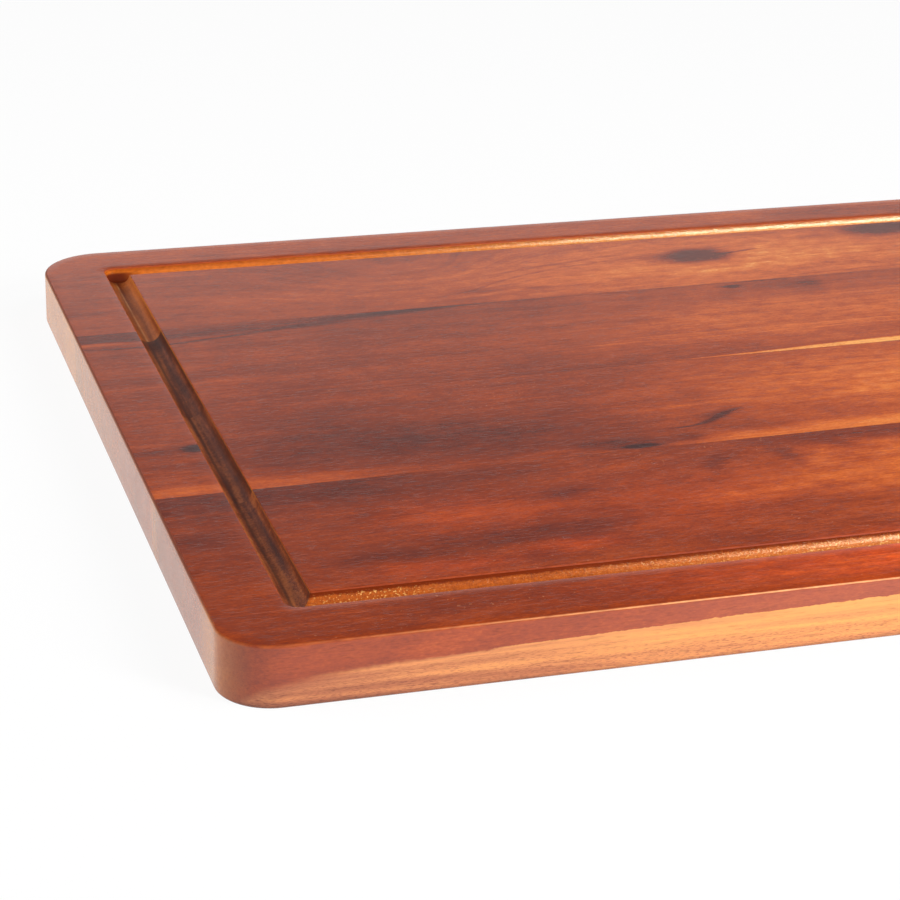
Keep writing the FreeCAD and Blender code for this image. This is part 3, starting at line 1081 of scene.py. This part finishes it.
def edge_colours(wood, colour):
    """Sanded lips glow orange from wear and a painted highlight; the rim in front is orange from
    wear and painted highlight, with a painted highlight line, and dark at the back.
    """
    tree = wood.tree
    outer = read_mark(tree, "outer_lip")
    rim = read_mark(tree, "rim")
    worn_and_highlight = WORN_AND_HIGHLIGHT_SHARE + wood.layer(wood.plain, WEAR_AND_HIGHLIGHT_NOISE)
    # painted highlight on the outer lips, mixed with their sanded colour
    colour = mix(colour, SANDED_LIP_AND_HIGHLIGHT, outer * worn_and_highlight)
    front = rise(wood.v, *NEAR_FRONT)
    # painted highlight on the front rim, over its wear
    colour = mix(colour, RIM_WEAR_AND_HIGHLIGHT, rim * front * worn_and_highlight * RIM_WEAR_AND_HIGHLIGHT_COVER)
    # a painted highlight line along the middle of the front rim
    line = read_mark(tree, "rim", *MIDDLE_OF_MARK) * front * rise(wood.u, *RIM_HIGHLIGHT_RISE)
    colour = mix(colour, RIM_HIGHLIGHT_LINE, line * (RIM_HIGHLIGHT_COVER + worn_and_highlight * RIM_HIGHLIGHT_UNEVENNESS))
    colour = mix(colour, BACK_RIM, rim * rise(wood.v, *BEHIND_FRONT) * BACK_RIM_COVER)
    lips = calculate(tree, "MAXIMUM", outer, read_mark(tree, "inner_lip"))
    return colour, lips, rim


def finish_face(wood, shader, colour, rough):
    """Pale nibs under the lacquer, edges rubbed by wear with painted highlights, and less gloss on
    the edges and ends.
    """
    nibs = rise(wood.noise(wood.plain, NIB_SIZE, detail=0.0), *NIB_EDGE)
    fields = rise(wood.noise(wood.plain, NIB_FIELDS, detail=1.0), *FIELD_EDGE)
    fields = fields * (1 - wood.front)
    colour = mix(colour, NIB_COLOUR, nibs * fields * NIB_COVER)
    colour, lips, rim = edge_colours(wood, colour)
    rough = rough + lips * LIP_ROUGHNESS + rim * rise(wood.v, *BEHIND_FRONT) * RIM_ROUGHNESS
    shine = LACQUER_SHINE - lips * LIP_DULLNESS - rim * rise(wood.v, *RIM_DULL_RISE) * RIM_DULLNESS
    shine = shine - wood.end * rise(wood.v, *END_DULL_FALL) * END_DULLNESS
    wood.tree.links.new(shine.socket, shader.inputs["Specular IOR Level"])
    return colour, rough


def finish_long_groove(wood, shader, rough, stave):
    """A golden gloss, weaker towards the left, and weakest at the back leg's left end."""
    gloss = BACK_LEG_GLOSS if stave == BACK_STAVE else FRONT_LEG_GLOSS
    shader.inputs["Specular Tint"].default_value = gloss.tint
    shader.inputs["Specular IOR Level"].default_value = FULL_SHINE
    shader.inputs["IOR"].default_value = gloss.index
    shine = FULL_SHINE - rise(wood.u, *LEFT_FADE) * LEFT_DULLNESS
    if stave == BACK_STAVE:
        shine = shine - rise(wood.u, *CORNER_FADE) * CORNER_DULLNESS
    wood.tree.links.new(shine.socket, shader.inputs["Specular IOR Level"])
    return rough + gloss.rough


def add_relief(wood, shader, pores, stave, part):
    """Ripples and pores in the surface, and the cutter's coarser marks in the groove."""
    height = wood.layer(wood.plain, RIPPLE) - pores * PORE_DEPTH
    if part != FACE:
        coarse = COARSE
        if stave == BACK_STAVE:
            coarse = BACK_COARSE + rise(wood.u, *BACK_COARSE_RISE) * BACK_COARSE_GAIN
        height = height + wood.noise(wood.plain, COARSE_SIZE, detail=2.0) * coarse
    bump = make_node(wood.tree, "ShaderNodeBump", {
        "Height": height, "Distance": RELIEF_DEPTH, "Strength": RELIEF_STRENGTH})
    wood.tree.links.new(bump.outputs[0], shader.inputs["Normal"])


def finish_surface(wood, shader, colour, stave, part):
    """Pores, edges rubbed by wear with painted highlights, and glue lines on the colour; a satin
    lacquer over it all.
    """
    pores = rise(wood.noise(wood.plain, PORE_SIZE, detail=1.0), *PORE_EDGE)
    colour = shade_by(colour, 1 - pores * PORE_DARKNESS)
    rough = LACQUER_ROUGHNESS + wood.layer(wood.plain, ROUGH_SPOTS)
    if part == FACE:
        colour, rough = finish_face(wood, shader, colour, rough)
    elif part == LONG_GROOVE:
        rough = finish_long_groove(wood, shader, rough, stave)
    else:
        rough = rough + SHORT_LEG_ROUGHNESS
        shader.inputs["Specular IOR Level"].default_value = SHORT_LEG_SHINE
    for line in GLUE_LINES:
        near = rise(magnitude(wood.v - line), *GLUE_EDGE)
        colour = shade_by(colour, 1 - near * GLUE_DARKNESS)
    wood.tree.links.new(colour.socket, shader.inputs["Base Color"])
    wood.tree.links.new(rough.socket, shader.inputs["Roughness"])
    add_relief(wood, shader, pores, stave, part)


def face_look(wood, stave):
    """The stave's own figure on its top, its edges and its underside."""
    wood.tone = wood.tone + wood.front * FRONT_LIFT
    colour = ramp(wood.tone, WOOD_SCALE)
    if isinstance(wood.red, Shade):
        redder = calculate_vector(wood.tree, "MULTIPLY", colour, RED_SHIFT)
        colour = mix(colour, redder, wood.red * (1 - wood.front))
    colour = end_face_look(wood, colour)
    cover = FRONT_COVER + rise(wood.u, *FRONT_COVER_RISE) * FRONT_COVER_GAIN
    colour = mix(colour, FRONT_COLOUR, wood.front * cover)
    if stave == FRONT_STAVE:
        colour = sapwood_edge(wood, colour)
    return colour


def wood_material(name, stave, part):
    """The lacquered wood of one stave, on its faces or in one kind of groove leg."""
    material = bpy.data.materials.new(name)
    material.use_nodes = True
    tree = material.node_tree
    shader = tree.nodes["Principled BSDF"]
    figure, tone, tilt, seed = FIGURES[stave]
    wood = Wood(tree, tone, tilt, seed)
    figure(wood)
    if part == FACE:
        colour = face_look(wood, stave)
    elif part == LONG_GROOVE:
        colour = long_groove_look(wood)
    else:
        colour = end_groove_look(wood, stave)
    finish_surface(wood, shader, colour, stave, part)
    return material


def dress_stave(panel, name, front_joint, back_joint):
    """One stave's piece with its three materials, in place of its CAD node."""
    stave = make_stave(panel, f"{name}_wood", front_joint, back_joint)
    for part, word in PART_WORDS.items():
        stave.data.materials.append(wood_material(f"{name}_{word}", name, part))
    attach(stave, "root")
    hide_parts(name)


make_camera()
make_stage()
bpy.context.scene.view_settings.view_transform = "Standard"
panel = build_panel()
bounds = [None, *JOINTS, None]
for name, front_joint, back_joint in zip(STAVES, bounds, bounds[1:]):
    dress_stave(panel, name, front_joint, back_joint)
panel.free()
